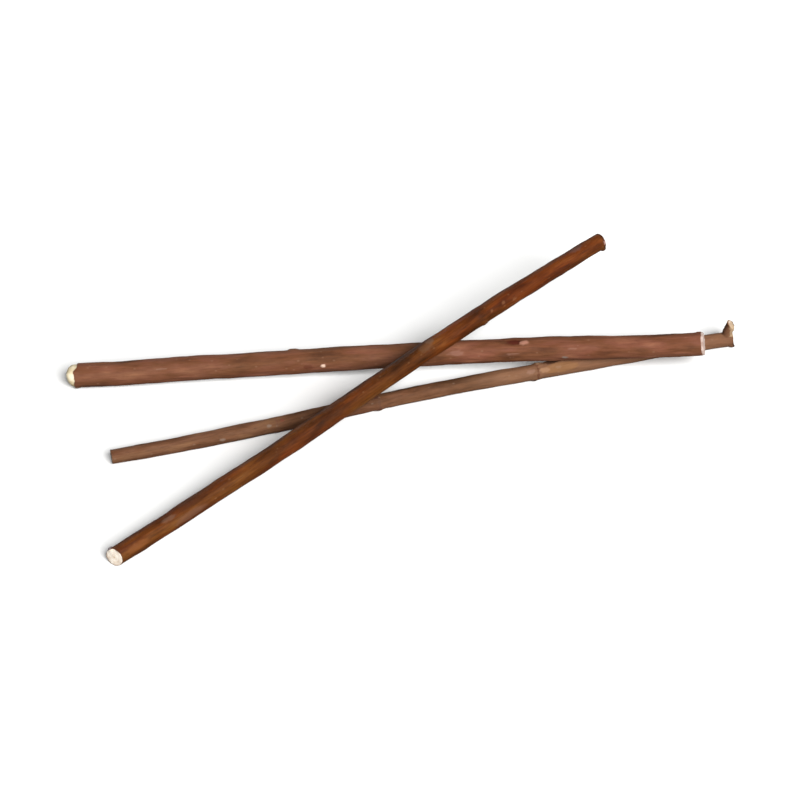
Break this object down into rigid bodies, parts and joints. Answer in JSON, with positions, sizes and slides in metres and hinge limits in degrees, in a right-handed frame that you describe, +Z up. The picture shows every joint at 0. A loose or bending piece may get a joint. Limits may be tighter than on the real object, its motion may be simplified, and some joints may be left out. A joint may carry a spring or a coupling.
{
  "type": "bundle of twigs",
  "caption": "Cut natural wood twigs with their bark on, lying loosely across one another as a gnawing, perch or craft bundle.",
  "frame": {"origin": "on the surface that the bundle lies on, under the middle of its bounding box", "axes": "+X along the bundle's longest extent, from the thick twig's butt towards the thin twig's end with the side shoot; +Y across the bundle, towards the raised end of the top twig; +Z up"},
  "size_m": [0.372, 0.2344, 0.0402],
  "materials": {
    "pinkish_bark": "smooth pinkish brown bark, pale cut wood at the ends",
    "grey_brown_bark": "greyish brown bark with leaf rings, pale cut wood at the ends",
    "red_brown_bark": "red brown bark with a slight sheen, pale cut wood at the ends"
  },
  "bodies": {
    "root": {"thick_twig": "pinkish_bark", "thin_twig": "grey_brown_bark", "thin_twig_side_shoot": "grey_brown_bark", "top_twig": "red_brown_bark"}
  },
  "joints": []
}
